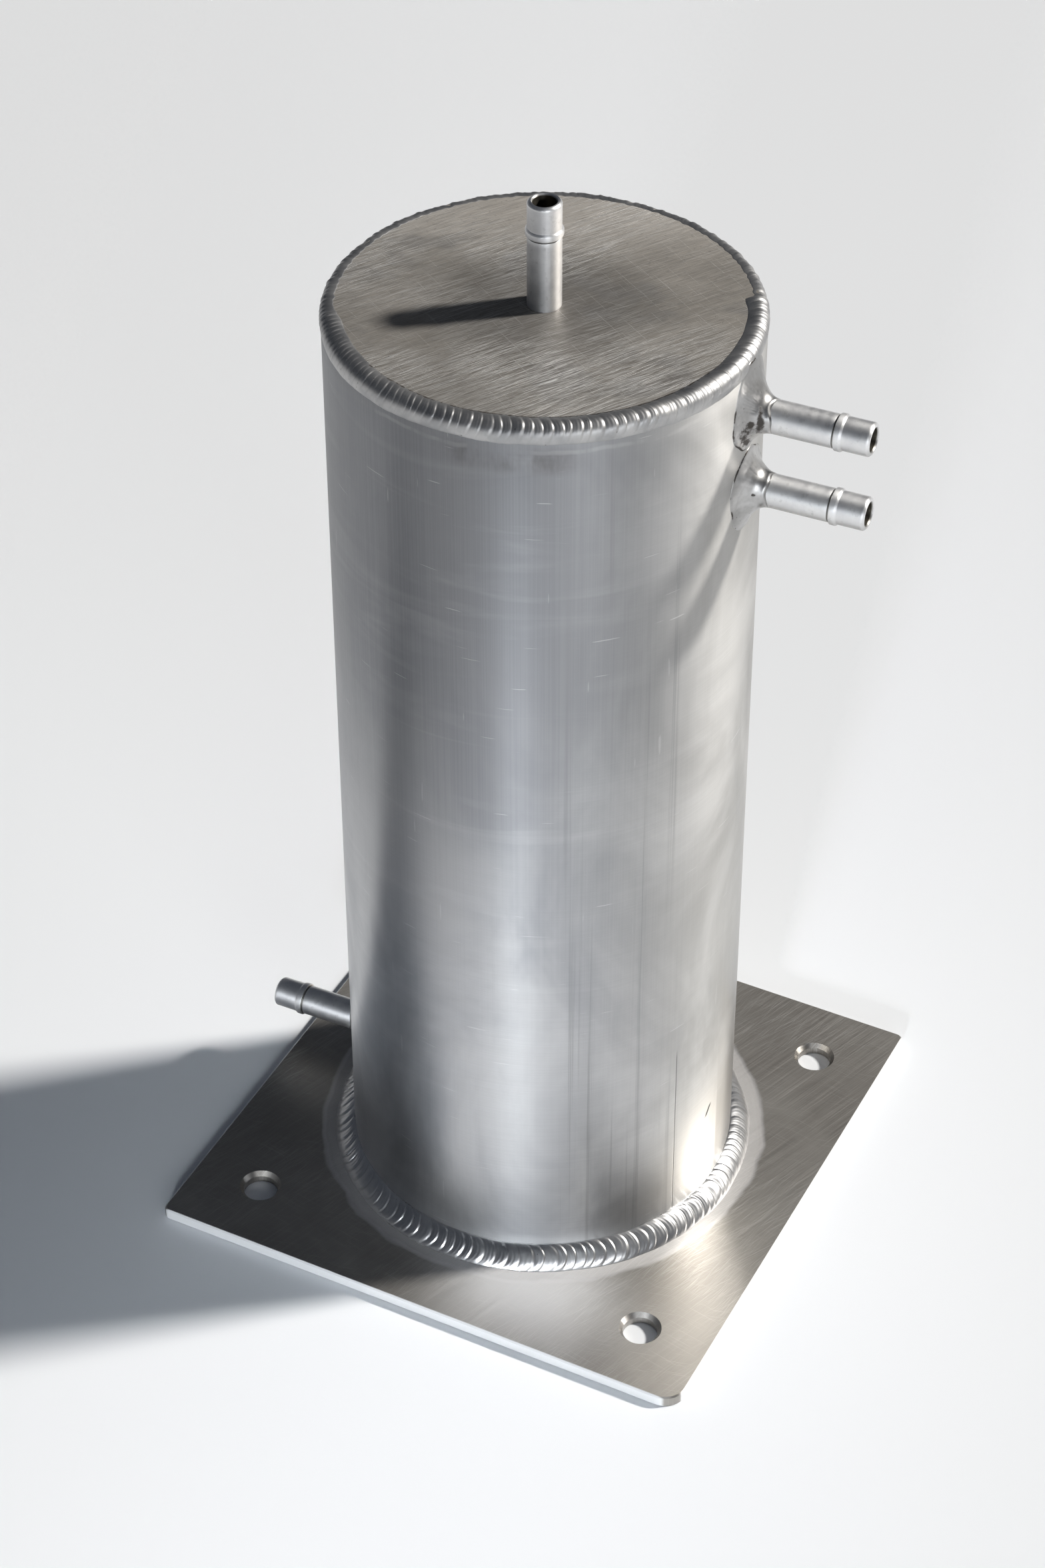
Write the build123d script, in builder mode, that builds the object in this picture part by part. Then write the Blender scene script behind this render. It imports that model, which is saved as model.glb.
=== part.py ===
# Fuel swirl pot: a welded aluminium pot on a drilled base plate, with four turned hose tails
# Millimetres, +Z up, with the origin at the centre of the base plate's underside

import os
from math import atan2, cos, degrees, radians, sin, sqrt, tan

from build123d import *

os.makedirs("parts", exist_ok=True)

# Base plate, with one corner worn rounder than the other three
plate_side = 150.0
plate_thickness = 3.0
plate_corner_radius = 2.0
plate_worn_corner_radius = 6.0
plate_edge_break = 0.4
bolt_pitch = 112.0
bolt_hole_diameter = 9.0
bolt_hole_break = 1.0

# Pot body: a length of tube on the plate, closed by a disc that laps onto its end
tube_diameter = 101.6
tube_wall = 3.0
tube_length = 256.0
cap_thickness = 3.0
cap_lap = 1.2

# Hose tails, all turned alike, with a low ridge that holds the hose
tail_diameter = 8.0
tail_bore = 5.5
tail_hole_clearance = 0.1
tail_inner_reach = 1.5
ridge_height = 0.4
ridge_ramp = 1.8
ridge_setback = 6.6

# Places of the tails
side_tail_reach = 29.2
vent_tail_reach = 26.7
inlet_azimuth = 3.0
outlet_azimuth = 181.5
upper_inlet_drop = 15.4
inlet_spacing = 20.1
outlet_rise = 16.2

# Cap weld: a heavy rippled run round the front, and a low plain run round the back
cap_weld_reach_in = 4.8
cap_weld_reach_down = 4.2
cap_weld_crown = 2.1
cap_weld_lean_angle = 45.0
cap_weld_pitch = 4.4
cap_weld_facets = 3
cap_weld_start_angle = 31.0
cap_weld_finish_angle = -153.0
low_run_reach_in = 3.0
low_run_reach_down = 3.6
low_run_crown = 1.6
low_run_bend_angle = 38.0
low_run_overlap_angle = 4.0

# Base weld: a rippled fillet all round the foot of the tube
base_weld_leg_up = 5.0
base_weld_leg_out = 5.3
base_weld_crown = 0.9
base_weld_lean_angle = 60.0
base_weld_pitch = 5.3
base_weld_facets = 3

# Ripples of both ring welds
ripple_height = 0.3
ripples_in_sector = 6
toe_overrun_ratio = 1.4
root_overrun = 2.0

# Fillet welds at the roots of the tails
tail_weld_leg = 5.4
tail_weld_radius = 10.4
vent_weld_leg = 2.5
weld_waist_out_ratio = 0.34
weld_waist_up_ratio = 0.22
weld_tip_thickness = 0.1
weld_sides = 20

# Sizes that follow from those above
tube_radius = tube_diameter / 2
tube_bore_radius = tube_radius - tube_wall
tube_top = plate_thickness + tube_length
cap_radius = tube_bore_radius + cap_lap
cap_top = tube_top + cap_thickness
tail_radius = tail_diameter / 2
tail_hole_radius = tail_radius + tail_hole_clearance / 2
upper_inlet_height = cap_top - upper_inlet_drop
lower_inlet_height = upper_inlet_height - inlet_spacing
outlet_height = plate_thickness + outlet_rise
working_margin = 5.0


def radial_plane(azimuth, distance, height):
    """Plane square to the radius at an azimuth, facing away from the tube's axis."""
    outward = Vector(cos(radians(azimuth)), sin(radians(azimuth)), 0)
    return Plane(origin=outward * distance + Vector(0, 0, height), x_dir=(0, 0, 1), z_dir=outward)


def section_plane(azimuth):
    """Upright plane through the tube's axis, with its x along the radius and its y up."""
    along = Vector(cos(radians(azimuth)), sin(radians(azimuth)), 0)
    return Plane(origin=(0, 0, 0), x_dir=along, z_dir=(along.Y, -along.X, 0))


def turned_tail(seat, inner_reach, outer_reach):
    """Hose tail along the seat plane's z axis, from inner_reach behind the plane to outer_reach before it."""
    half = Plane(origin=seat.origin, x_dir=seat.x_dir, z_dir=-seat.y_dir)
    bore_radius = tail_bore / 2
    ridge_radius = tail_radius + ridge_height
    ramp_start = outer_reach - ridge_setback
    shoulder = ramp_start - ridge_ramp
    with BuildPart() as tail:
        with BuildSketch(half):
            with BuildLine():
                Polyline(
                    (bore_radius, -inner_reach),
                    (tail_radius, -inner_reach),
                    (tail_radius, shoulder),
                    (ridge_radius, shoulder),
                    (tail_radius, ramp_start),
                    (tail_radius, outer_reach),
                    (bore_radius, outer_reach),
                    close=True,
                )
            make_face()
        revolve(axis=Axis(seat.origin, seat.z_dir))
    return tail.part


def weld_level(seat, foot, height, foot_radius, top_radius, slope):
    """One level of a facetted weld round a tail, sloping in over the last part of its height."""
    with BuildPart() as level:
        with BuildSketch(seat.offset(-foot)):
            RegularPolygon(foot_radius, weld_sides, major_radius=False)
        extrude(amount=foot + height)
        top = level.faces().sort_by(Axis(seat.origin, seat.z_dir))[-1]
        chamfer(top.edges(), length=foot_radius - top_radius, length2=slope, reference=top)
        with BuildSketch(seat.offset(-foot)):
            Circle(tail_radius)
        extrude(amount=foot + height, mode=Mode.SUBTRACT)
    return level.part


def hollow_flare(seat, foot, toe_radius, leg):
    """Weld round a tail, standing leg along it and falling hollow in two levels to its toe."""
    tip_radius = tail_radius + weld_tip_thickness
    waist_radius = tip_radius + (toe_radius - tip_radius) * weld_waist_out_ratio
    waist = leg * weld_waist_up_ratio
    with BuildPart() as flare:
        add(weld_level(seat, foot, waist, toe_radius, waist_radius, waist + foot / 2))
        add(weld_level(seat, foot, leg, waist_radius, tip_radius, leg - waist))
    return flare.part


def tail_weld(seat):
    """Weld round a tail that leaves the side of the tube, seated on the tube's curve."""
    foot = 2 * (tube_radius - sqrt(tube_radius**2 - tail_weld_radius**2))
    with BuildPart() as weld:
        add(hollow_flare(seat, foot, tail_weld_radius, tail_weld_leg))
        with BuildSketch(Plane.XY.offset(seat.origin.Z - 2 * tail_weld_radius)):
            Circle(tube_radius)
        extrude(amount=4 * tail_weld_radius, mode=Mode.SUBTRACT)
    return weld.part


def crown_arc(inner_toe, outer_toe, crown):
    """Centre, radius and outward direction of the arc that stands crown above the line between two toes."""
    across = outer_toe - inner_toe
    outward = Vector(-across.Y, across.X).normalized()
    half = across.length / 2
    radius = (half**2 + crown**2) / (2 * crown)
    centre = (inner_toe + outer_toe) * 0.5 - outward * (radius - crown)
    return centre, radius, outward


def rippled_sector(inner_toe, outer_toe, root, crown, lean, step, facets):
    """Clockwise run of ring weld from the XZ plane, with a leaning slice for each ripple.

    Each slice tapers away from its trailing face, so that face stands proud as a crescent.
    """
    centre, radius, outward = crown_arc(inner_toe, outer_toe, crown)
    top_radius = radius + ripple_height
    up = Vector(outward.X, 0, outward.Y)
    middle = Vector(centre.X, 0, centre.Y)
    top = middle + up * top_radius
    trailing = Vector(0, cos(radians(lean)), 0) - up * sin(radians(lean))
    pitch = top.X * radians(step)
    reach = degrees(atan2((outer_toe - inner_toe).length / 2, radius - crown)) * toe_overrun_ratio
    bends = [radians(reach * (2 * i / facets - 1)) for i in range(facets + 1)]
    crest = [(top_radius * cos(bend), top_radius * sin(bend)) for bend in bends]
    floor = (root - centre).dot(outward) - root_overrun
    length = (top_radius - floor) * tan(radians(lean)) + 2 * pitch
    with BuildPart() as slice:
        with BuildSketch(Plane(origin=middle, x_dir=up, z_dir=(0, -1, 0))):
            with BuildLine():
                Polyline(*crest, (floor, crest[-1][1]), (floor, crest[0][1]), close=True)
            make_face()
        extrude(amount=length, taper=degrees(atan2(ripple_height, pitch)))
        split(bisect_by=Plane(origin=top, z_dir=-trailing))
        split(bisect_by=Plane(origin=top.rotate(Axis.Z, -step), z_dir=trailing.rotate(Axis.Z, -step)))
    with BuildPart() as sector:
        with PolarLocations(0, ripples_in_sector, angular_range=-step * ripples_in_sector):
            add(slice.part)
    return sector.part


# Base plate
with BuildPart() as base_plate:
    with BuildSketch():
        Rectangle(plate_side, plate_side)
    extrude(amount=plate_thickness)
    uprights = base_plate.edges().filter_by(Axis.Z)
    worn_upright = uprights.sort_by(Axis((0, 0, 0), (1, -1, 0)))[-1]
    fillet([edge for edge in uprights if edge != worn_upright], radius=plate_corner_radius)
    worn_upright = base_plate.edges().filter_by(Axis.Z).sort_by(Axis((0, 0, 0), (1, -1, 0)))[-1]
    fillet(worn_upright, radius=plate_worn_corner_radius)
    chamfer(base_plate.faces().sort_by(Axis.Z)[-1].edges(), length=plate_edge_break)
    with Locations(Plane.XY.offset(plate_thickness)):
        with GridLocations(bolt_pitch, bolt_pitch, 2, 2):
            CounterSinkHole(bolt_hole_diameter / 2, bolt_hole_diameter / 2 + bolt_hole_break)
base_plate.part.label = "base_plate"
export_step(base_plate.part, "parts/base_plate.step")

# Body tube, drilled for its three side tails
upper_inlet_seat = radial_plane(inlet_azimuth, tube_radius, upper_inlet_height)
lower_inlet_seat = radial_plane(inlet_azimuth, tube_radius, lower_inlet_height)
outlet_seat = radial_plane(outlet_azimuth, tube_radius, outlet_height)
with BuildPart() as body_tube:
    with BuildSketch(Plane.XY.offset(plate_thickness)):
        Circle(tube_radius)
        Circle(tube_bore_radius, mode=Mode.SUBTRACT)
    extrude(amount=tube_length)
    for seat in (upper_inlet_seat, lower_inlet_seat, outlet_seat):
        with BuildSketch(seat.offset(working_margin)):
            Circle(tail_hole_radius)
        extrude(amount=-2 * working_margin - tube_wall, mode=Mode.SUBTRACT)
body_tube.part.label = "body_tube"
export_step(body_tube.part, "parts/body_tube.step")

# Top cap, with the vent's hole through its middle
with BuildPart() as top_cap:
    with BuildSketch(Plane.XY.offset(tube_top)):
        Circle(cap_radius)
        Circle(tail_hole_radius, mode=Mode.SUBTRACT)
    extrude(amount=cap_thickness)
top_cap.part.label = "top_cap"
export_step(top_cap.part, "parts/top_cap.step")

# Vent tail, standing in the middle of the cap
vent_seat = Plane.XY.offset(cap_top)
vent_inner_reach = cap_thickness + vent_weld_leg + tail_inner_reach
with BuildPart() as vent_tail:
    add(turned_tail(vent_seat, vent_inner_reach, vent_tail_reach))
vent_tail.part.label = "vent_tail"
export_step(vent_tail.part, "parts/vent_tail.step")

# Side tails, each with the weld round its root
side_inner_reach = tube_wall + tail_inner_reach
with BuildPart() as upper_inlet_tail:
    add(turned_tail(upper_inlet_seat, side_inner_reach, side_tail_reach))
upper_inlet_tail.part.label = "upper_inlet_tail"
export_step(upper_inlet_tail.part, "parts/upper_inlet_tail.step")

with BuildPart() as lower_inlet_tail:
    add(turned_tail(lower_inlet_seat, side_inner_reach, side_tail_reach))
lower_inlet_tail.part.label = "lower_inlet_tail"
export_step(lower_inlet_tail.part, "parts/lower_inlet_tail.step")

with BuildPart() as outlet_tail:
    add(turned_tail(outlet_seat, side_inner_reach, side_tail_reach))
outlet_tail.part.label = "outlet_tail"
export_step(outlet_tail.part, "parts/outlet_tail.step")

with BuildPart() as upper_inlet_weld:
    add(tail_weld(upper_inlet_seat))
upper_inlet_weld.part.label = "upper_inlet_weld"
export_step(upper_inlet_weld.part, "parts/upper_inlet_weld.step")

# The lower inlet's weld stops where the upper one's begins
with BuildPart() as lower_inlet_weld:
    add(tail_weld(lower_inlet_seat))
    add(upper_inlet_weld.part, mode=Mode.SUBTRACT)
lower_inlet_weld.part.label = "lower_inlet_weld"
export_step(lower_inlet_weld.part, "parts/lower_inlet_weld.step")

with BuildPart() as outlet_weld:
    add(tail_weld(outlet_seat))
outlet_weld.part.label = "outlet_weld"
export_step(outlet_weld.part, "parts/outlet_weld.step")

# Weld round the vent, on the underside of the cap
with BuildPart() as vent_weld:
    underside = Plane(origin=(0, 0, tube_top), z_dir=(0, 0, -1))
    toe_radius = tail_radius + vent_weld_leg
    tip_radius = tail_radius + weld_tip_thickness
    add(weld_level(underside, 0, vent_weld_leg, toe_radius, tip_radius, vent_weld_leg - weld_tip_thickness))
vent_weld.part.label = "vent_weld"
export_step(vent_weld.part, "parts/vent_weld.step")

# Cap weld: the rippled sectors are cut to the corner between cap and tube, then carried round the front
cap_inner_toe = Vector(tube_radius - cap_weld_reach_in, cap_top)
cap_outer_toe = Vector(tube_radius, cap_top - cap_weld_reach_down)
cap_root = Vector(cap_radius, tube_top)
cap_run = cap_weld_start_angle - cap_weld_finish_angle
cap_sectors = round(radians(cap_run) * tube_radius / cap_weld_pitch / ripples_in_sector)
cap_sector_angle = cap_run / cap_sectors
cap_step = cap_sector_angle / ripples_in_sector
with BuildPart() as cap_sector:
    add(
        rippled_sector(
            cap_inner_toe,
            cap_outer_toe,
            cap_root,
            cap_weld_crown,
            cap_weld_lean_angle,
            cap_step,
            cap_weld_facets,
        )
    )
    with BuildSketch(Plane.XY.offset(cap_top)):
        Circle(cap_radius)
    extrude(amount=-tail_weld_radius, mode=Mode.SUBTRACT)
    with BuildSketch(Plane.XY.offset(tube_top)):
        Circle(tube_radius)
    extrude(amount=-tail_weld_radius, mode=Mode.SUBTRACT)

with BuildPart() as cap_weld:
    with BuildSketch(section_plane(cap_weld_start_angle - low_run_overlap_angle)):
        with BuildLine():
            low_inner_toe = Vector(tube_radius - low_run_reach_in, cap_top)
            low_outer_toe = Vector(tube_radius, cap_top - low_run_reach_down)
            centre, radius, outward = crown_arc(low_inner_toe, low_outer_toe, low_run_crown)
            shoulder = Vector(outward.X, outward.Y) * radius
            Polyline(
                low_inner_toe,
                centre + shoulder.rotate(Axis.Z, low_run_bend_angle),
                centre + shoulder.rotate(Axis.Z, -low_run_bend_angle),
                low_outer_toe,
                (tube_radius, tube_top),
                cap_root,
                (cap_radius, cap_top),
                close=True,
            )
        make_face()
    revolve(axis=Axis.Z, revolution_arc=360 - cap_run + low_run_overlap_angle)
    with PolarLocations(0, cap_sectors, start_angle=cap_weld_start_angle, angular_range=-cap_run):
        add(cap_sector.part)
cap_weld.part.label = "cap_weld"
export_step(cap_weld.part, "parts/cap_weld.step")

# Base weld: the same in the corner between tube and plate, carried all the way round
base_inner_toe = Vector(tube_radius, plate_thickness + base_weld_leg_up)
base_outer_toe = Vector(tube_radius + base_weld_leg_out, plate_thickness)
base_root = Vector(tube_radius, plate_thickness)
base_middle_radius = tube_radius + base_weld_leg_out / 2
base_sectors = round(radians(360) * base_middle_radius / base_weld_pitch / ripples_in_sector)
base_step = 360 / base_sectors / ripples_in_sector
with BuildPart() as base_sector:
    add(
        rippled_sector(
            base_inner_toe,
            base_outer_toe,
            base_root,
            base_weld_crown,
            base_weld_lean_angle,
            base_step,
            base_weld_facets,
        )
    )
    with BuildSketch(Plane.XY.offset(-working_margin)):
        Circle(tube_radius)
    extrude(amount=working_margin + tube_length, mode=Mode.SUBTRACT)
    with BuildSketch(Plane.XY.offset(plate_thickness)):
        Circle(plate_side)
    extrude(amount=-2 * working_margin, mode=Mode.SUBTRACT)

with BuildPart() as base_weld:
    with PolarLocations(0, base_sectors):
        add(base_sector.part)
base_weld.part.label = "base_weld"
export_step(base_weld.part, "parts/base_weld.step")
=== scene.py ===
# Looks of the fuel swirl pot: rippled welds, turned tails, worn aluminium, studio light
# Meshes are worked out in millimetres from the centre of the plate's underside, and made in metres
# Materials, lamps and the floor are in metres, and azimuths run from the x axis towards the y axis

import math

import bpy
import numpy as np
from mathutils import Matrix, Vector


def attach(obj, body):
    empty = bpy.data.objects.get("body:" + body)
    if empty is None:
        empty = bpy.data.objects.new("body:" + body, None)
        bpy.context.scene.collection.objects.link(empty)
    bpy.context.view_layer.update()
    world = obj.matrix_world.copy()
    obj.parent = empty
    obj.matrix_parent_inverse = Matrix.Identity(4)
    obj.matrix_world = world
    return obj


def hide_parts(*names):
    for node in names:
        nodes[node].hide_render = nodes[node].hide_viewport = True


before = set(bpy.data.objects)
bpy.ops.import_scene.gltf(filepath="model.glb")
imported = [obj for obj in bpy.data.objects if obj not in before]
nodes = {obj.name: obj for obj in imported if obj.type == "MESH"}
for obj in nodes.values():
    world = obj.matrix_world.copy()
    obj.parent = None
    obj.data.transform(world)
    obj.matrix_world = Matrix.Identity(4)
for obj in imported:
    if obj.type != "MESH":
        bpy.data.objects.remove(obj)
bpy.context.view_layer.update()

MM = 0.001
TAU = 2 * math.pi

# Sizes that the looks share with the frame
TUBE_R = 50.8
CAP_TOP = 262.0
PLATE_TOP = 3.0
TAIL_R = 4.0
BORE_R = 2.75
INLET_AZIMUTH = 3.0
OUTLET_AZIMUTH = 181.5
UPPER_INLET_Z = 246.6
LOWER_INLET_Z = 226.5
OUTLET_Z = 19.2
SIDE_REACH = 29.2
VENT_REACH = 26.7

# Course of the two ring welds: where each starts, and how far the cap's heavy run goes
CAP_WELD_START = math.radians(31.0)
CAP_WELD_FRONT = math.radians(184.0)
FOOT_WELD_START = math.radians(100.0)
FOOT_WELD_R = TUBE_R + 2.6
FILLET_LEG = 6.0

# How finely the meshes are divided
CAP_WELD_STEPS = 2300
FOOT_WELD_STEPS = 2500
BEAD_COLUMNS = 30
FILLET_ROWS = 260
FILLET_COLUMNS = 56
TAIL_SEGMENTS = 96

# Radius of the groove behind a tail's ridge, and how near to it a point counts as in the groove
GROOVE_R = TAIL_R - 0.21
GROOVE_NEAR = 0.03

# Anisotropic rotation that turns the highlight by a quarter of a turn
ACROSS = 0.25


# Shader graphs


class Graph:
    """Shorthand for building a material's nodes."""

    def __init__(self, name):
        self.material = bpy.data.materials.new(name)
        self.material.use_nodes = True
        self.tree = self.material.node_tree
        self.tree.nodes.clear()
        self.output = self.tree.nodes.new("ShaderNodeOutputMaterial")
        self.shader = self.tree.nodes.new("ShaderNodeBsdfPrincipled")
        self.tree.links.new(self.shader.outputs[0], self.output.inputs["Surface"])
        self.position = self.tree.nodes.new("ShaderNodeTexCoord").outputs["Object"]

    def put(self, socket, value):
        """Links a socket or sets a plain value."""
        if isinstance(value, bpy.types.NodeSocket):
            self.tree.links.new(value, socket)
        else:
            socket.default_value = value

    def math(self, operation, a, b=None):
        node = self.tree.nodes.new("ShaderNodeMath")
        node.operation = operation
        self.put(node.inputs[0], a)
        if b is not None:
            self.put(node.inputs[1], b)
        return node.outputs[0]

    def add(self, a, b):
        return self.math("ADD", a, b)

    def times(self, a, b):
        return self.math("MULTIPLY", a, b)

    def most(self, a, b):
        return self.math("MAXIMUM", a, b)

    def swing(self, value, amount):
        """A noise's swing about its middle, times an amount."""
        return self.times(self.math("SUBTRACT", value, 0.5), amount)

    def total(self, *terms):
        """Sum of terms, each a value and its weight."""
        result = None
        for value, weight in terms:
            term = self.times(value, weight)
            result = term if result is None else self.add(result, term)
        return result

    def split(self):
        """The surface point's x, y and z in metres."""
        node = self.tree.nodes.new("ShaderNodeSeparateXYZ")
        self.put(node.inputs[0], self.position)
        return node.outputs

    def vector(self, x, y=0.0, z=0.0):
        node = self.tree.nodes.new("ShaderNodeCombineXYZ")
        for socket, value in zip(node.inputs, (x, y, z)):
            self.put(socket, value)
        return node.outputs[0]

    def radius(self, x, y):
        return self.math("SQRT", self.add(self.times(x, x), self.times(y, y)))

    def towards(self, x, y, azimuth):
        """Distance from the middle towards an azimuth in degrees."""
        a = math.radians(azimuth)
        return self.add(self.times(x, math.cos(a)), self.times(y, math.sin(a)))

    def scaled(self, scale, rotation=(0, 0, 0), location=(0, 0, 0), source=None):
        """The surface point, or another source, with a scale for all three axes or for each."""
        node = self.tree.nodes.new("ShaderNodeMapping")
        self.put(node.inputs["Vector"], source or self.position)
        node.inputs["Scale"].default_value = scale if isinstance(scale, tuple) else (scale,) * 3
        node.inputs["Rotation"].default_value = rotation
        node.inputs["Location"].default_value = location
        return node.outputs[0]

    def noise(self, scale, detail=2.0, roughness=0.5, distortion=0.0, **placing):
        """Noise with this many features to the metre. What placing holds goes to scaled()."""
        vector = self.scaled(scale, **placing)
        node = self.tree.nodes.new("ShaderNodeTexNoise")
        self.put(node.inputs["Vector"], vector)
        node.inputs["Scale"].default_value = 1.0
        node.inputs["Detail"].default_value = detail
        node.inputs["Roughness"].default_value = roughness
        node.inputs["Distortion"].default_value = distortion
        return node.outputs[0]

    def cells(self, scale):
        """Distance to the nearest of many scattered points."""
        vector = self.scaled(scale)
        node = self.tree.nodes.new("ShaderNodeTexVoronoi")
        self.put(node.inputs["Vector"], vector)
        node.inputs["Scale"].default_value = 1.0
        return node.outputs["Distance"]

    def ramp(self, value, low, high, out_low=0.0, out_high=1.0):
        """Value taken smoothly from low..high to out_low..out_high, and held beyond."""
        node = self.tree.nodes.new("ShaderNodeMapRange")
        node.interpolation_type = "SMOOTHSTEP"
        self.put(node.inputs["Value"], value)
        self.put(node.inputs["From Min"], low)
        self.put(node.inputs["From Max"], high)
        self.put(node.inputs["To Min"], out_low)
        self.put(node.inputs["To Max"], out_high)
        return node.outputs[0]

    def band(self, value, centre, half_width, soft):
        """One inside a band round centre, fading to nought over soft beyond its half width."""
        away = self.math("ABSOLUTE", self.math("SUBTRACT", value, centre))
        return self.ramp(away, half_width, half_width + soft, 1.0, 0.0)

    def sector(self, angle, centre, half_width, soft):
        """A band round an azimuth, with its measures in degrees."""
        return self.band(angle, math.radians(centre), math.radians(half_width), math.radians(soft))

    def colour(self, fac, first, second):
        node = self.tree.nodes.new("ShaderNodeMix")
        node.data_type = "RGBA"
        self.put(node.inputs["Factor"], fac)
        for name, value in (("A", first), ("B", second)):
            socket = [s for s in node.inputs if s.name == name and s.type == "RGBA"][0]
            self.put(socket, value if isinstance(value, bpy.types.NodeSocket) else (*value, 1.0))
        return [s for s in node.outputs if s.type == "RGBA"][0]

    def layered(self, base, *layers):
        """Base with layers laid over it, each a mask, its strength and its colour."""
        for mask, strength, colour in layers:
            base = self.colour(self.times(mask, strength), base, colour)
        return base

    def bump(self, height, microns):
        node = self.tree.nodes.new("ShaderNodeBump")
        node.inputs["Strength"].default_value = 1.0
        node.inputs["Distance"].default_value = microns / 1e6
        self.put(node.inputs["Height"], height)
        return node.outputs[0]

    def radial_tangent(self, axis="Z"):
        node = self.tree.nodes.new("ShaderNodeTangent")
        node.direction_type = "RADIAL"
        node.axis = axis
        return node.outputs[0]

    def tangent_along(self, azimuth):
        a = math.radians(azimuth)
        return self.vector(math.cos(a), math.sin(a))

    def attribute(self, name):
        node = self.tree.nodes.new("ShaderNodeAttribute")
        node.attribute_name = name
        return node.outputs["Fac"]

    def finish(
        self, base, roughness, normal=None, anisotropic=0.0, turn=0.0, tangent=None, metallic=1.0
    ):
        """Puts the results on the shader and gives back the material."""
        self.put(self.shader.inputs["Base Color"], base)
        self.put(self.shader.inputs["Roughness"], roughness)
        self.put(self.shader.inputs["Metallic"], metallic)
        self.shader.inputs["Anisotropic"].default_value = anisotropic
        self.shader.inputs["Anisotropic Rotation"].default_value = turn
        if tangent is not None:
            self.put(self.shader.inputs["Tangent"], tangent)
        if normal is not None:
            self.put(self.shader.inputs["Normal"], normal)
        return self.material


def streaks(graph, direction, along, across, offset=0.0, detail=2.0):
    """Noise drawn out along a direction in the XY plane, with its sizes in mm."""
    turned = (0, 0, -math.radians(direction))
    moved = graph.scaled(1, rotation=turned, location=(offset, offset, 0))
    sizes = (1000 / along, 1000 / across, 1000 / along)
    return graph.noise(sizes, source=moved, detail=detail)


def scratches(graph, way, *layers):
    """Thin scratches near one direction.

    Each layer gives its turn off that direction, length, width, threshold and offset.
    """
    softness = 0.07
    found = None
    for turn, along, across, low, offset in layers:
        lines = streaks(graph, way + turn, along, across, offset=offset, detail=0.0)
        lines = graph.ramp(lines, low, low + softness)
        found = lines if found is None else graph.most(found, lines)
    return found


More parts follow.
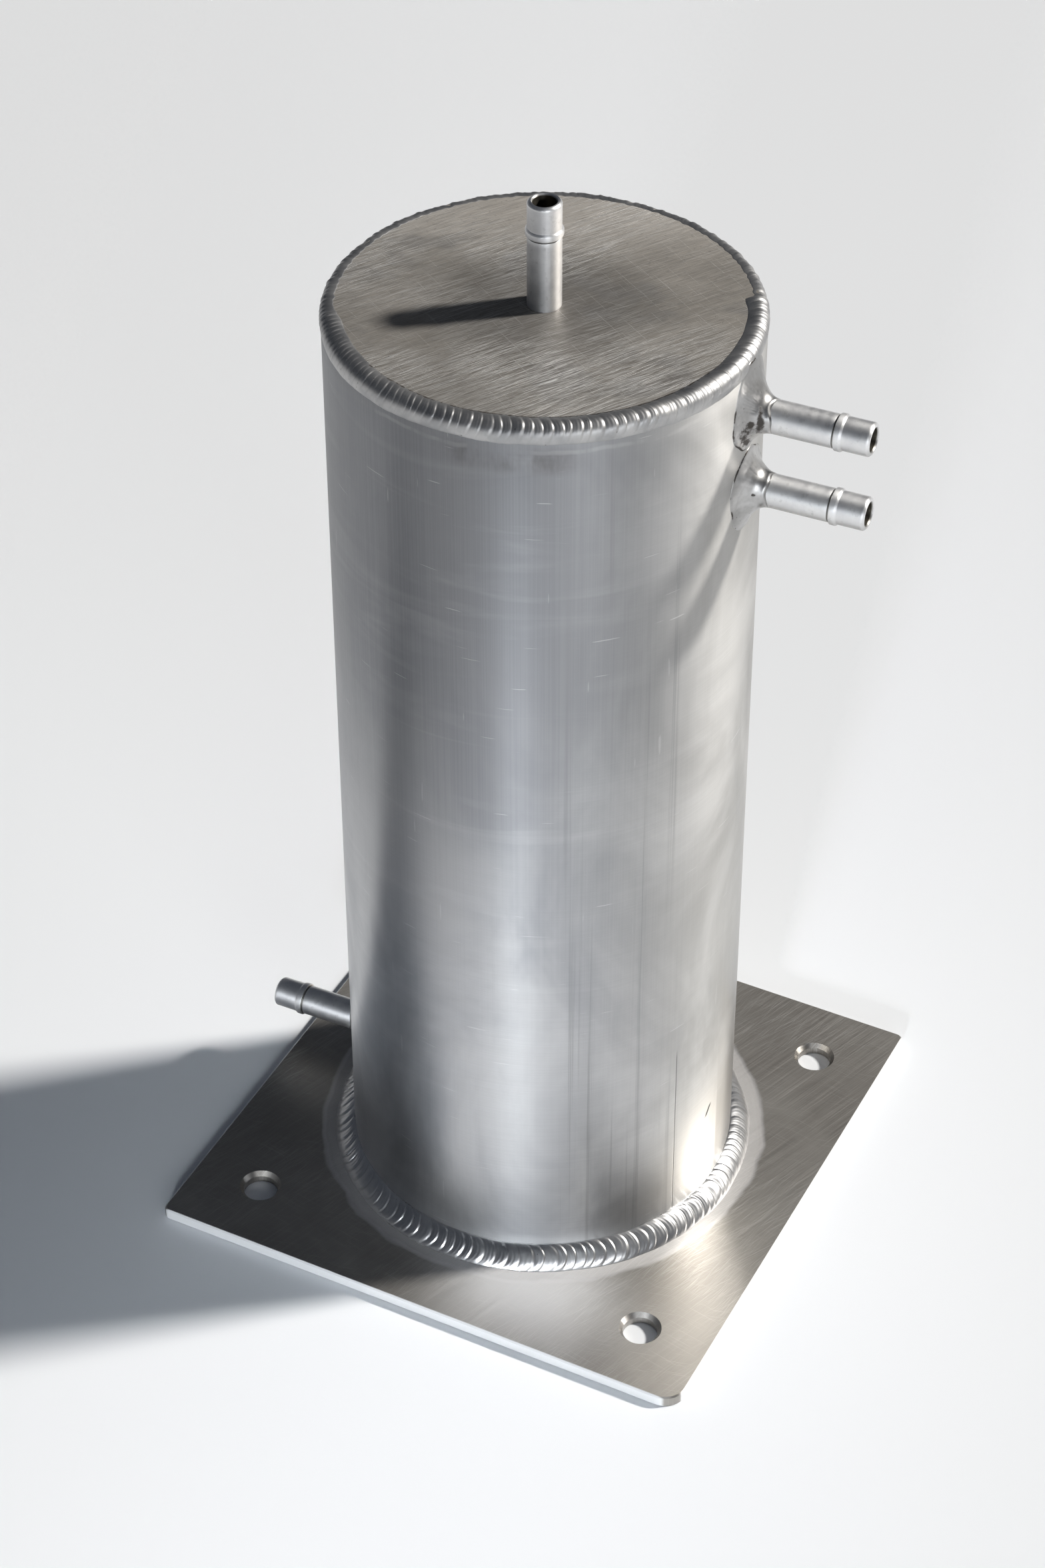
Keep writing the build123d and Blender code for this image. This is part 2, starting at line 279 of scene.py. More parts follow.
def tube_material():
    """Drawn tube rubbed down to satin.

    Fine lines run up it and a faint grain round it, with hazy wipe marks and a few scratches.
    """
    g = Graph("tube_satin")
    x, y, z = g.split()
    angle = g.math("ARCTAN2", y, x)
    fine_up = g.noise((2600, 2600, 9), detail=3.0, roughness=0.6)
    broad_up = g.noise((420, 420, 4), detail=3.0, roughness=0.6)
    grain_round = g.noise((40, 40, 4200), detail=3.0, roughness=0.7)
    cloud = g.noise((26, 26, 15), detail=4.0, roughness=0.6, distortion=0.6)
    stain = g.noise((60, 60, 22), location=(3, 1, 7), detail=5.0, roughness=0.7)
    wipe = g.noise(
        (16, 16, 110), rotation=(0.12, -0.10, 0), detail=3.0, roughness=0.55, distortion=0.8
    )
    grain = g.noise(1500)

    # Groups of dark drawing lines on the side towards the inlets
    lines = g.times(g.ramp(broad_up, 0.54, 0.66), g.sector(angle, -42, 13, 14))
    drawn = g.times(lines, g.ramp(fine_up, 0.42, 0.6))
    # One long scribed line, and a slanted nick beside the right-hand highlight
    scribe = g.band(angle, math.radians(-21.5), 0.0014, 0.0026)
    scribe = g.times(scribe, g.band(z, 0.036, 0.026, 0.004))
    nick_angle, nick_z, nick_slant = math.radians(-5.5), 0.0335, -14.0
    nick_axis = g.add(
        g.math("SUBTRACT", angle, nick_angle), g.times(g.math("SUBTRACT", z, nick_z), nick_slant)
    )
    nick = g.times(g.band(nick_axis, 0.0, 0.007, 0.006), g.band(z, nick_z, 0.0010, 0.0010))
    # Pale scratches, short and slanted, scattered thinly
    slant = g.noise((110, 110, 2100), rotation=(0.5, 0.25, 0), detail=0.0)
    steep = g.noise((1100, 1100, 90), rotation=(0.5, -0.3, 0.3), detail=0.0)
    scratch = g.most(g.ramp(slant, 0.83, 0.87), g.times(g.ramp(steep, 0.85, 0.89), 0.6))
    # Wetted line and frost below the cap's weld, frost above the foot's
    level = g.add(z, g.swing(g.noise(45, detail=3.0), 0.006))
    wet_cap = g.times(g.band(level, 0.2560, 0.0002, 0.0006), g.ramp(stain, 0.42, 0.55))
    frost = g.most(g.ramp(level, 0.2530, 0.2565), g.ramp(level, 0.0130, 0.0090))
    # Soot wiped under the cap's weld
    smear = g.times(g.sector(angle, -72, 9, 14), g.band(z, 0.2535, 0.0012, 0.0035))
    smear = g.times(smear, g.ramp(stain, 0.38, 0.60))
    # Painted reflection of something dark, low on the right
    painted_dark_reflection = g.times(g.sector(angle, 24, 9, 12), g.ramp(z, 0.10, 0.05))

    # Painted light and shade: cool on the unlit left side and warm on the lit rest, and painted
    # shade towards the top, most of all on the left
    painted_shade_side = g.ramp(g.math("COSINE", g.add(angle, math.radians(105))), -0.10, 0.85)
    painted_shade_tone = g.colour(g.ramp(cloud, 0.34, 0.66), (0.44, 0.45, 0.47), (0.63, 0.635, 0.645))
    painted_lit_tone = g.colour(g.ramp(cloud, 0.34, 0.66), (0.48, 0.47, 0.45), (0.68, 0.67, 0.65))
    painted_shade_top = g.times(g.ramp(z, 0.06, 0.22), g.add(g.times(painted_shade_side, 0.72), 0.06))
    base = g.colour(painted_shade_top, g.colour(painted_shade_side, painted_lit_tone, painted_shade_tone), (0.20, 0.205, 0.22))
    base = g.layered(
        base,
        # Painted dark reflection low on the right
        (painted_dark_reflection, 0.6, (0.20, 0.195, 0.19)),
        (g.ramp(stain, 0.55, 0.75), 0.20, (0.36, 0.37, 0.385)),
        (g.ramp(wipe, 0.52, 0.72), 0.10, (0.80, 0.80, 0.80)),
        (g.ramp(grain_round, 0.35, 0.65), 0.10, (0.30, 0.30, 0.31)),
        (g.ramp(fine_up, 0.35, 0.65), 0.05, (0.80, 0.80, 0.81)),
        (drawn, 0.42, (0.25, 0.25, 0.26)),
        (frost, 0.12, (0.60, 0.60, 0.60)),
        (smear, 0.55, (0.14, 0.13, 0.13)),
        (wet_cap, 0.14, (0.85, 0.85, 0.84)),
        (scratch, 0.32, (0.9, 0.9, 0.9)),
    )
    base = g.colour(g.most(g.times(scribe, 0.70), nick), base, (0.05, 0.05, 0.05))

    rough = g.add(g.swing(cloud, 0.12), g.ramp(z, 0.04, 0.25, 0.33, 0.45))
    rough = g.add(g.add(rough, g.swing(wipe, 0.10)), g.times(frost, 0.06))
    height = g.total(
        (fine_up, 0.25),
        (grain_round, 0.60),
        (drawn, -0.3),
        (grain, 0.15),
        (g.most(scribe, nick), -3.0),
    )
    normal = g.bump(height, 9)
    return g.finish(base, rough, normal, anisotropic=0.75, turn=ACROSS, tangent=g.radial_tangent())


def cap_material():
    """Sheet disc, taupe with age, scratched across in one direction, pitted and smudged."""
    g = Graph("cap_scratched")
    way = 57.0
    fine = streaks(g, way, 5.0, 0.14, detail=3.0)
    long = streaks(g, way + 3.0, 22.0, 0.6, offset=0.4, detail=3.0)
    cloud = g.noise(30, detail=4.0, roughness=0.6, distortion=0.5)
    patch = g.noise(52, location=(2.4, 0.7, 0), detail=3.0, roughness=0.55)
    grit = g.noise(2100, detail=3.0, roughness=0.7)
    speckle = g.ramp(g.noise(900, location=(1, 4, 2)), 0.62, 0.72)
    zone = g.ramp(g.noise(24, location=(5, 2, 0), detail=1.0), 0.36, 0.58)
    pits = g.ramp(g.cells(260), 0.018, 0.040, 1.0, 0.0)
    pits = g.times(pits, g.ramp(g.noise(70, location=(9, 9, 0)), 0.48, 0.56))

    many = scratches(
        g,
        way,
        (0.0, 6.0, 0.13, 0.60, 0.9),
        (4.0, 9.0, 0.16, 0.63, 1.7),
        (-5.0, 4.0, 0.11, 0.62, 2.6),
    )
    bold = scratches(g, way, (-3.0, 10.0, 0.20, 0.655, 1.3), (6.0, 13.0, 0.17, 0.67, 3.1))
    stray = scratches(g, way - 90.0, (0.0, 14.0, 0.14, 0.76, 4.2), (35.0, 10.0, 0.12, 0.77, 5.3))
    many = g.times(many, g.add(g.times(zone, 0.34), 0.08))
    bold = g.times(bold, g.add(g.times(zone, 0.8), 0.15))
    bright = g.most(g.most(many, bold), g.times(stray, 0.5))

    # Dark round the vent, with painted light behind it and painted shade in front of it, as seen
    # from the camera's side
    x, y, _ = g.split()
    behind = g.towards(x, y, 117)
    centre = g.ramp(g.radius(x, y), 0.034, 0.014)
    base = g.colour(g.ramp(cloud, 0.3, 0.7), (0.32, 0.297, 0.268), (0.41, 0.382, 0.348))
    base = g.layered(
        base,
        (centre, 0.75, (0.17, 0.16, 0.148)),
        # Painted light behind the vent
        (g.ramp(behind, 0.012, 0.040), 0.70, (0.66, 0.62, 0.57)),
        # Painted shade in front of the vent
        (g.ramp(behind, -0.012, -0.040), 0.40, (0.20, 0.19, 0.175)),
        (g.ramp(patch, 0.54, 0.66), 0.45, (0.22, 0.215, 0.215)),
        (g.ramp(long, 0.50, 0.70), 0.18, (0.60, 0.58, 0.55)),
        (g.ramp(fine, 0.40, 0.62, 1.0, 0.0), 0.22, (0.25, 0.24, 0.225)),
        (speckle, 0.30, (0.20, 0.19, 0.18)),
        (bright, 0.9, (0.96, 0.95, 0.93)),
        (pits, 0.8, (0.06, 0.055, 0.05)),
    )
    rough = g.add(g.add(g.swing(fine, 0.25), 0.60), g.times(bright, -0.10))
    height = g.total((fine, 0.6), (long, 0.6), (grit, 0.5), (bright, 1.2), (pits, -2.0))
    normal = g.bump(height, 16)
    tangent = g.tangent_along(way)
    return g.finish(base, rough, normal, anisotropic=0.45, turn=ACROSS, tangent=tangent)


def plate_material():
    """Mill-finish sheet with fine scratches, a frosted band round the foot weld, and edge faces
    painted pale as a painted highlight.
    """
    g = Graph("plate_mill")
    x, y, _ = g.split()
    way = 70.0
    fine = streaks(g, way, 24.0, 0.14, detail=3.0)
    cross = streaks(g, 20.0, 16.0, 0.20, offset=0.7)
    bright = scratches(
        g,
        way,
        (-9.0, 12.0, 0.18, 0.66, 2.1),
        (5.0, 8.0, 0.14, 0.67, 3.3),
        (14.0, 20.0, 0.16, 0.72, 4.4),
    )
    stray = scratches(g, way - 80.0, (0.0, 18.0, 0.16, 0.74, 5.1), (25.0, 9.0, 0.14, 0.75, 6.2))
    zone = g.ramp(g.noise(20, location=(2, 8, 0), detail=1.0), 0.44, 0.62)
    bright = g.most(g.times(bright, g.add(g.times(zone, 0.35), 0.06)), g.times(stray, 0.30))
    cloud = g.noise(22, detail=4.0, roughness=0.6, distortion=0.7)
    grit = g.noise(1500)
    radius = g.radius(x, y)
    reach = g.add(radius, g.swing(g.noise(70, detail=3.0), 0.005))
    frost = g.ramp(reach, 0.0602, 0.0580)
    rim = g.band(reach, 0.0594, 0.0002, 0.0009)
    edge = g.most(g.math("ABSOLUTE", x), g.math("ABSOLUTE", y))
    # Edge faces, painted near white as a painted highlight
    side = g.ramp(edge, 0.0744, 0.0748)
    # Painted reflection: a pale patch in front of the tube, where the plate mirrors the tube's
    # bright foot
    around = g.math("ARCTAN2", y, x)
    painted_reflection = g.times(g.sector(around, -68, 6, 26), g.ramp(radius, 0.094, 0.060))

    base = g.colour(g.ramp(cloud, 0.3, 0.7), (0.33, 0.31, 0.285), (0.43, 0.41, 0.38))
    base = g.layered(
        base,
        (g.ramp(fine, 0.5, 0.7), 0.25, (0.64, 0.63, 0.61)),
        # Painted reflection of the tube's bright foot
        (painted_reflection, 0.75, (0.82, 0.82, 0.83)),
        (frost, 0.6, (0.62, 0.615, 0.62)),
        (rim, 0.4, (0.80, 0.79, 0.80)),
        (bright, 0.6, (0.9, 0.89, 0.87)),
        # Painted highlight on the edge faces
        (side, 0.9, (0.93, 0.94, 0.95)),
    )
    rough = g.add(g.swing(fine, 0.18), 0.43)
    rough = g.add(rough, g.most(g.times(frost, 0.12), g.times(painted_reflection, 0.09)))
    frosting = g.times(frost, g.times(g.noise(900, detail=3.0), 1.5))
    height = g.add(g.total((fine, 0.8), (cross, 0.4), (grit, 0.3)), frosting)
    normal = g.bump(height, 12)
    tangent = g.tangent_along(way)
    # The painted highlight also takes the edge faces nearly off metal
    metal = g.math("SUBTRACT", 1.0, g.times(side, 0.9))
    return g.finish(
        base, rough, normal, anisotropic=0.55, turn=ACROSS, tangent=tangent, metallic=metal
    )


def bead_material(name, least_rough, dark=(0.62, 0.62, 0.625), pale=(0.74, 0.735, 0.73)):
    """Weld metal, with the soot and painted shade and the puddles' edges that the mesh carries as
    attributes.
    """
    g = Graph(name)
    cloud = g.noise(150, detail=4.0, roughness=0.6)
    grit = g.noise(2200, detail=3.0)
    pits = g.ramp(g.cells(420), 0.05, 0.10, 1.0, 0.0)
    speck = g.noise(700, location=(7, 7, 7), detail=5.0, roughness=0.7)
    soot_and_shade = g.ramp(g.add(g.attribute("soot_and_shade"), g.swing(speck, 1.1)), 0.34, 0.62, 0.0, 0.9)
    base = g.colour(g.ramp(cloud, 0.35, 0.7), dark, pale)
    base = g.layered(base, (g.attribute("step"), 0.45, (0.30, 0.295, 0.29)))
    base = g.colour(soot_and_shade, base, (0.065, 0.055, 0.048))
    base = g.layered(base, (pits, 0.5, (0.10, 0.09, 0.08)))
    rough = g.add(g.add(g.times(cloud, 0.12), least_rough), g.times(soot_and_shade, 0.35))
    normal = g.bump(g.add(grit, g.times(pits, -2.0)), 7)
    return g.finish(base, rough, normal)


def tail_material(name, azimuth=None):
    """Turned bar: fine rings round it from the tool, bright, with a little handling wear.

    A side tail lies along its azimuth. Without one the tail stands upright.
    """
    g = Graph(name)
    upright = azimuth is None
    x, y, z = g.split()
    line = g.vector(z if upright else g.towards(x, y, azimuth))
    rings = g.noise((5200, 1, 1), source=line, detail=3.0, roughness=0.7)
    bands = g.noise((420, 1, 1), source=line)
    cloud = g.noise(260, detail=4.0, roughness=0.65)
    grit = g.noise(2600)
    dark = g.ramp(g.noise(700, location=(4, 4, 4), detail=3.0), 0.60, 0.72)
    base = g.colour(g.ramp(cloud, 0.3, 0.7), (0.84, 0.84, 0.85), (0.94, 0.94, 0.94))
    base = g.layered(
        base,
        (g.ramp(rings, 0.58, 0.72), 0.28, (0.40, 0.40, 0.41)),
        (g.ramp(cloud, 0.60, 0.72), 0.30, (0.40, 0.395, 0.39)),
        (dark, 0.16, (0.25, 0.24, 0.235)),
    )
    # Painted shade in the bore, in the groove and on the underside
    base = g.colour(g.attribute("tail_shade"), base, (0.13, 0.12, 0.10))
    rough = g.add(g.times(bands, 0.12), 0.38 if upright else 0.44)
    rough = g.add(rough, g.swing(cloud, 0.18))
    normal = g.bump(g.total((rings, 0.6), (grit, 0.25)), 6)
    tangent = g.radial_tangent("Z" if upright else "X")
    return g.finish(base, rough, normal, anisotropic=0.5, turn=ACROSS, tangent=tangent)


def hidden_weld_material():
    """Weld under the cap, which only shows from inside the pot."""
    g = Graph("inside_weld")
    cloud = g.noise(200, detail=4.0, roughness=0.6)
    base = g.colour(cloud, (0.45, 0.44, 0.43), (0.62, 0.61, 0.60))
    return g.finish(base, g.add(g.times(cloud, 0.2), 0.35), g.bump(g.noise(1800), 20))


def floor_material():
    """Pale matt floor with a faint unevenness."""
    g = Graph("floor_pale")
    base = g.colour(g.noise(3), (0.88, 0.90, 0.93), (0.90, 0.92, 0.95))
    g.shader.inputs["Specular IOR Level"].default_value = 0.1
    return g.finish(base, 0.9, metallic=0.0)


# Meshes


def make_object(name, points, faces, material, attributes=None):
    """Smooth mesh object from points in mm, with values per vertex as attributes."""
    mesh = bpy.data.meshes.new(name)
    mesh.from_pydata((np.asarray(points) * MM).tolist(), [], faces)
    mesh.validate()
    mesh.update()
    mesh.shade_smooth()
    for key, values in (attributes or {}).items():
        layer = mesh.attributes.new(key, "FLOAT", "POINT")
        layer.data.foreach_set("value", np.asarray(values, dtype=np.float32).ravel())
    obj = bpy.data.objects.new(name, mesh)
    bpy.context.scene.collection.objects.link(obj)
    mesh.materials.append(material)
    return obj


def grid_faces(rows, columns):
    """Quads of a grid that closes on itself both ways."""
    a, b = np.meshgrid(np.arange(rows), np.arange(columns), indexing="ij")
    c, d = (a + 1) % rows, (b + 1) % columns
    corners = [a * columns + b, c * columns + b, c * columns + d, a * columns + d]
    return np.stack(corners, axis=-1).reshape(-1, 4).tolist()


def ring_angles(steps):
    return np.linspace(0, TAU, steps, endpoint=False)


def smooth_wave(angles, waves, seed):
    """Sum of waves round the ring, each a count and a weight, with phases fixed by the seed."""
    rng = np.random.default_rng(seed)
    total = np.zeros_like(angles)
    for count, weight in waves:
        total += weight * np.sin(count * angles + rng.uniform(0, TAU))
    return total


def blend_step(value, low, high):
    """Smooth step from 0 at low to 1 at high."""
    t = np.clip((value - low) / (high - low), 0, 1)
    return t * t * (3 - 2 * t)


def puddle_starts(total, spacing_at, jitter, seed):
    """Places along a run where one puddle of weld overlaps the last, unevenly spaced."""
    rng = np.random.default_rng(seed)
    places = [-4.0 * spacing_at(0.0)]
    while places[-1] < total + 12.0:
        places.append(places[-1] + spacing_at(places[-1]) * (1 + jitter * rng.uniform(-1, 1)))
    return np.array(places)


def puddle_index(starts, place):
    """Which puddle each place lies in."""
    return np.clip(np.searchsorted(starts, place, side="right") - 1, 0, len(starts) - 2)


def puddle_share(starts, place, index):
    """How far through its puddle each place lies, from 0 to 1."""
    return np.clip((place - starts[index]) / (starts[index + 1] - starts[index]), 0, 1)


def ripple_field(run, across, width, starts, seed, curl, fine):
    """Height of overlapped puddles, about one, and how near each point is to a puddle's edge.

    run is the distance travelled, across goes from 0 to 1 over the bead, width is in mm. curl
    is the radius of a puddle's edge in widths, and fine the height of the lines inside it.
    """
    rng = np.random.default_rng(seed)
    strengths = 1 + 0.40 * rng.uniform(-1, 1, len(starts))
    skews = 0.5 * rng.uniform(-1, 1, len(starts))
    wobbles = rng.uniform(0, TAU, len(starts))
    offset = (across - 0.5) * width
    radius = curl * width
    lag = radius - np.sqrt(np.maximum(radius**2 - offset**2, (0.2 * radius) ** 2))
    place = run - lag
    index = puddle_index(starts, place)
    place = place - skews[index] * (across - 0.5) * 0.8 - 0.10 * np.sin(across * 7 + wobbles[index])
    index = puddle_index(starts, place)
    share = puddle_share(starts, place, index)
    dome = np.clip(1 - np.abs(2 * share**0.72 - 1) ** 2.4, 0, 1) ** 0.85
    shingle = blend_step(share, 0.0, 0.22) * (1 - 0.92 * share)
    height = strengths[index] * (0.45 * dome + 0.75 * shingle)
    height = height + fine * dome * np.sin(TAU * share * 3.0 + wobbles[index])
    edge = np.clip(1 - np.minimum(share, 1 - share) / 0.10, 0, 1)
    middle = np.clip(1 - np.abs(2 * across - 1) ** 3.2, 0, 1)
    return height * middle, edge * middle


def ring_bead(
    name, angles, inner, outer, crown, ripple, run, starts, seed, material, soot_and_shade, curl
):
    """Closed ring of weld, with its root sunk in.

    Per angle it has its inner and outer toe (radius, z), its crown and its ripple height.
    """
    fine = 0.07
    sunk = 0.5
    across = np.linspace(0, 1, BEAD_COLUMNS)
    chord = outer - inner
    width = np.linalg.norm(chord, axis=1)
    outward = np.stack([-chord[:, 1], chord[:, 0]], axis=1) / width[:, None]
    outward = outward * np.sign(outward[:, 1:2] + outward[:, 0:1])
    run_grid = run[:, None] + 0 * across[None, :]
    across_grid = across[None, :] + 0 * run[:, None]
    field, edge = ripple_field(run_grid, across_grid, width[:, None], starts, seed, curl, fine)
    dome = crown[:, None] * (1 - np.abs(2 * across[None, :] - 1) ** 2.4)
    lift = dome + ripple[:, None] * field
    section = inner[:, None, :] + chord[:, None, :] * across[None, :, None]
    section = section + outward[:, None, :] * lift[..., None]
    sunk_outer = outer - sunk * outward
    sunk_inner = inner - sunk * outward
    section = np.concatenate([section, sunk_outer[:, None, :], sunk_inner[:, None, :]], axis=1)
    cos_a, sin_a = np.cos(angles)[:, None], np.sin(angles)[:, None]
    points = [section[..., 0] * cos_a, section[..., 0] * sin_a, section[..., 1]]
    points = np.stack(points, axis=-1)
    rows, total = points.shape[:2]
    pad = np.zeros((rows, 2))
    attributes = {
        "step": np.concatenate([edge, pad], axis=1),
        "soot_and_shade": np.concatenate([soot_and_shade(angles, across), pad], axis=1),
    }
    return make_object(name, points.reshape(-1, 3), grid_faces(rows, total), material, attributes)


def lathe(name, profile, origin, axis, material):
    """Turned piece: a closed profile of (radius, distance along the axis), swept round the axis."""
    axis = np.asarray(axis, float)
    helper = np.array([0.0, 0.0, 1.0]) if abs(axis[2]) < 0.9 else np.array([1.0, 0.0, 0.0])
    side = np.cross(axis, helper)
    side /= np.linalg.norm(side)
    other = np.cross(axis, side)
    turns = ring_angles(TAIL_SEGMENTS)
    profile = np.asarray(profile, float)
    ring = np.cos(turns)[:, None, None] * side + np.sin(turns)[:, None, None] * other
    points = np.asarray(origin) + profile[None, :, 1:2] * axis + profile[None, :, 0:1] * ring
    # Painted shade fills the bore and the groove, and lies thinly on the underside
    bore = profile[:, 0] < BORE_R + 0.1
    groove = np.abs(profile[:, 0] - GROOVE_R) < GROOVE_NEAR
    recess_shade = np.tile(np.where(bore, 1.0, np.where(groove, 0.8, 0.0)), TAIL_SEGMENTS)
    underside_shade = 0.42 * blend_step(-ring[:, 0, 2], -0.2, 0.9)
    tail_shade = {"tail_shade": np.maximum(recess_shade, np.repeat(underside_shade, len(profile)))}
    faces = grid_faces(TAIL_SEGMENTS, len(profile))
    obj = make_object(name, points.reshape(-1, 3), faces, material, tail_shade)
    obj.data.set_sharp_from_angle(angle=math.radians(30))
    return obj


def tail_profile(inner, outer):
    """Hose tail's outline from its mouth back to its inner end, with a groove behind its ridge."""
    tip = outer
    ridge = outer - 6.6
    shoulder = ridge - 1.8
    tool_pitch, tool_depth, tool_marks = 0.36, 0.010, 15
    back_steps, bore_steps = 24, 6
    outline = [
        (BORE_R + 0.30, tip - 0.02),
        (TAIL_R - 0.52, tip),
        (TAIL_R - 0.44, tip - 0.04),
        (TAIL_R - 0.08, tip - 0.42),
        (TAIL_R, tip - 0.60),
    ]
    outline += [
        (TAIL_R - tool_depth * (k % 2), tip - 0.6 - tool_pitch * k)
        for k in range(1, tool_marks + 1)
    ]
    outline += [
        (TAIL_R, ridge + 0.02),
        (TAIL_R + 0.35, ridge - 0.40),
        (TAIL_R + 0.40, ridge - 0.55),
        (TAIL_R + 0.40, shoulder + 0.14),
        (TAIL_R + 0.30, shoulder),
        (TAIL_R - 0.20, shoulder - 0.03),
        (TAIL_R - 0.22, shoulder - 0.40),
        (TAIL_R - 0.03, shoulder - 0.50),
        (TAIL_R, shoulder - 0.62),
    ]
    outline += [
        (TAIL_R, shoulder - 0.62 - (shoulder - 0.62 + inner) * k / back_steps)
        for k in range(1, back_steps)
    ]
    outline += [(TAIL_R, -inner + 0.15), (TAIL_R - 0.15, -inner), (BORE_R, -inner)]
    outline += [(BORE_R, -inner + (outer + inner) * k / bore_steps) for k in range(1, bore_steps)]
    outline += [(BORE_R, tip - 0.40)]
    return outline


def saddle_weld(name, azimuth, height, reach, material, seed, soot_and_shade):
    """Hollow fillet between the tube and a tail.

    Its toe is drawn out as reach says, by angle from upward.
    """
    a = math.radians(azimuth)
    outward = np.array([math.cos(a), math.sin(a), 0.0])
    sideways = np.array([-math.sin(a), math.cos(a), 0.0])
    up = np.array([0.0, 0.0, 1.0])
    turn = ring_angles(FILLET_ROWS)[:, None]
    share = np.linspace(0, 1, FILLET_COLUMNS)[None, :]
    toe = reach(turn) + smooth_wave(turn, [(3, 0.30), (5, 0.22), (8, 0.10), (13, 0.05)], seed)
    rho = TAIL_R + (toe - TAIL_R) * share**0.95
    hollow = 1 - np.sqrt(np.clip(1 - (1 - share) ** 2, 0, 1))
    leg = FILLET_LEG + smooth_wave(turn, [(2, 0.28), (3, 0.20), (5, 0.12)], seed + 1)
    depth = leg * hollow**0.92
    depth = depth + 0.32 * (1 - share**16) * blend_step(share, 0.0, 0.3)
    # Overlapped puddles of weld metal that run round the tail
    around = turn * 0.5 * (TAIL_R + toe)
    lag = 1.1 * np.sqrt(np.clip(1 - (2 * share - 1) ** 2, 0, 1))
    puddles = puddle_starts(float(around.max()) + 4.0, lambda at: 2.3, 0.35, seed + 3)
    place = around - lag
    phase = puddle_share(puddles, place, puddle_index(puddles, place))
    dome = np.clip(1 - np.abs(2 * phase**0.7 - 1) ** 2.2, 0, 1)
    weight = blend_step(share, 0.10, 0.35) * (1 - blend_step(share, 0.80, 0.97))
    depth = depth + 0.05 * dome * weight
    # Low swells across them, with finer creases
    swell = smooth_wave(turn + 1.3 * share, [(2, 0.16), (3, 0.14), (5, 0.08)], seed + 2)
    depth = depth + swell * np.sin(np.pi * share) ** 2
    depth = depth + 0.035 * np.sin(share * 17 + 2 * turn + swell * 9) * np.sin(np.pi * share) ** 2
    off = rho * np.sin(turn)
    fall = TUBE_R - np.sqrt(TUBE_R**2 - np.minimum(off**2, TUBE_R**2 * 0.9))
    out = depth - fall

    def round_tail(radii):
        """Offsets from the tail's axis, across it."""
        upward, aside = radii * np.cos(turn), radii * np.sin(turn)
        return upward[..., None] * up + aside[..., None] * sideways

    # The toe is sunk into the tube, and the root into the tube and the tail
    root_r = TAIL_R - 0.15
    level = np.array([0, 0, height])
    wall = level + outward * TUBE_R
    points = wall + out[..., None] * outward + round_tail(rho)
    toe_fall = fall[:, -1:] + 0.8
    sunk_toe = wall - toe_fall[..., None] * outward + round_tail(rho[:, -1:])
    sunk_root = level + outward * (TUBE_R - 1.2) + round_tail(root_r)
    tip_root = wall + out[:, :1, None] * outward * 0.98 + round_tail(root_r)
    points = np.concatenate([points, sunk_toe, sunk_root, tip_root], axis=1)
    pad = np.zeros((FILLET_ROWS, 3))
    rim = np.exp(-((share - 0.93) / 0.05) ** 2) + 0 * turn
    attributes = {
        "soot_and_shade": np.concatenate([soot_and_shade(turn, share), pad], axis=1),
        "step": np.concatenate([0.6 * rim + 0.25 * (1 - dome) * weight, pad], axis=1),
    }
    faces = grid_faces(FILLET_ROWS, points.shape[1])
    return make_object(name, points.reshape(-1, 3), faces, material, attributes)


# Weld of the cap


def cap_spacing(at):
    """Large lumps where the weld starts, finer ripples towards its end."""
    return float(3.2 - 0.8 * blend_step(at, 30.0, 60.0) - 0.7 * blend_step(at, 90.0, 130.0))


def cap_soot_and_shade(at, across):
    """Painted brown shade along the inner toe round the front, and the odd dark fleck behind."""
    run = (CAP_WELD_START - at) % TAU
    front = blend_step(run, 0.3, 0.9) * (1 - blend_step(run, 2.4, 3.0))
    # Painted shade in the undercut along the inner toe
    toe = np.exp(-((across[None, :] - 0.02) / 0.06) ** 2)
    flecks = np.clip(smooth_wave(at, [(47, 0.5), (83, 0.5), (131, 0.4)], 21), 0, 1)
    return np.clip(toe * (0.55 * front[:, None] + 0.25 * flecks[:, None]), 0, 0.8)


